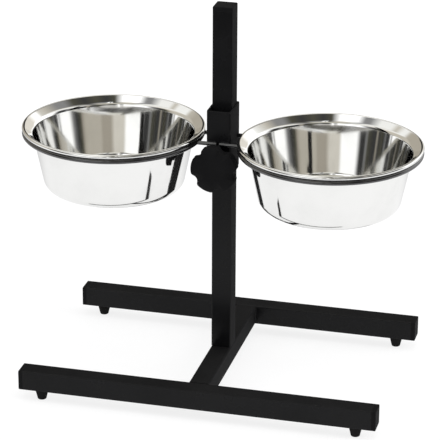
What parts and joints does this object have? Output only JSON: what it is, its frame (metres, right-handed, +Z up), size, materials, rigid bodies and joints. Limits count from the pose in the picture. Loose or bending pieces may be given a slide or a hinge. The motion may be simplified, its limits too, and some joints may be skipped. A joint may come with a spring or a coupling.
{
  "type": "dog feeder stand",
  "caption": "Free-standing dog feeder stand: a tube base and square post carry a clamped sliding sleeve whose wire rings hold lift-out steel bowls.",
  "frame": {"origin": "on the floor, in the middle of the base, under the post", "axes": "+Z up along the post, +X to the right along the front and rear bars, -Y towards the knob and the viewer"},
  "size_m": [0.49, 0.287, 0.478],
  "materials": {
    "powder_coat": "satin black powder coat",
    "polished_steel": "mirror-polished stainless steel",
    "black_plastic": "matt moulded plastic",
    "foot_rubber": "matt black rubber",
    "zinc_plate": "bright zinc plate",
    "nylon": "natural nylon"
  },
  "bodies": {
    "base": {"front_bar": "powder_coat", "rear_bar": "powder_coat", "cross_bar": "powder_coat", "post": "powder_coat", "post_cap": "black_plastic", "front_left_plug": "black_plastic", "front_right_plug": "black_plastic", "rear_left_plug": "black_plastic", "rear_right_plug": "black_plastic", "front_left_foot": "foot_rubber", "front_right_foot": "foot_rubber", "rear_left_foot": "foot_rubber", "rear_right_foot": "foot_rubber", "post_insert": "zinc_plate", "post_bolt": "zinc_plate", "post_washer": "zinc_plate"},
    "carriage": {"sleeve": "powder_coat", "clamp_nut": "powder_coat", "left_ring": "powder_coat", "right_ring": "powder_coat"},
    "pad": {"clamp_pad": "nylon"},
    "knob": {"knob": "black_plastic", "clamp_screw": "zinc_plate"},
    "left_bowl": {"left_bowl": "polished_steel"},
    "right_bowl": {"right_bowl": "polished_steel"}
  },
  "joints": [
    {"name": "carriage_slide", "type": "slide", "parent": "base", "child": "carriage", "axis": [0, 0, 1], "range_m": [-0.219, 0.115]},
    {"name": "clamp_travel", "type": "slide", "parent": "carriage", "child": "pad", "axis": [0, -1, 0], "range_m": [0, 0.00375]},
    {"name": "knob_turn", "type": "hinge", "parent": "pad", "child": "knob", "pos_m": [0, -0.0417, 0.2877], "axis": [0, -1, 0], "range_deg": [0, 1080]},
    {"name": "left_bowl_lift", "type": "slide", "parent": "carriage", "child": "left_bowl", "axis": [0, 0, 1], "range_m": [0, 0.1]},
    {"name": "right_bowl_lift", "type": "slide", "parent": "carriage", "child": "right_bowl", "axis": [0, 0, 1], "range_m": [0, 0.1]}
  ],
  "couplings": [
    {"joint": "clamp_travel", "follows": "knob_turn", "m_per_rad": 0.00019894}
  ]
}
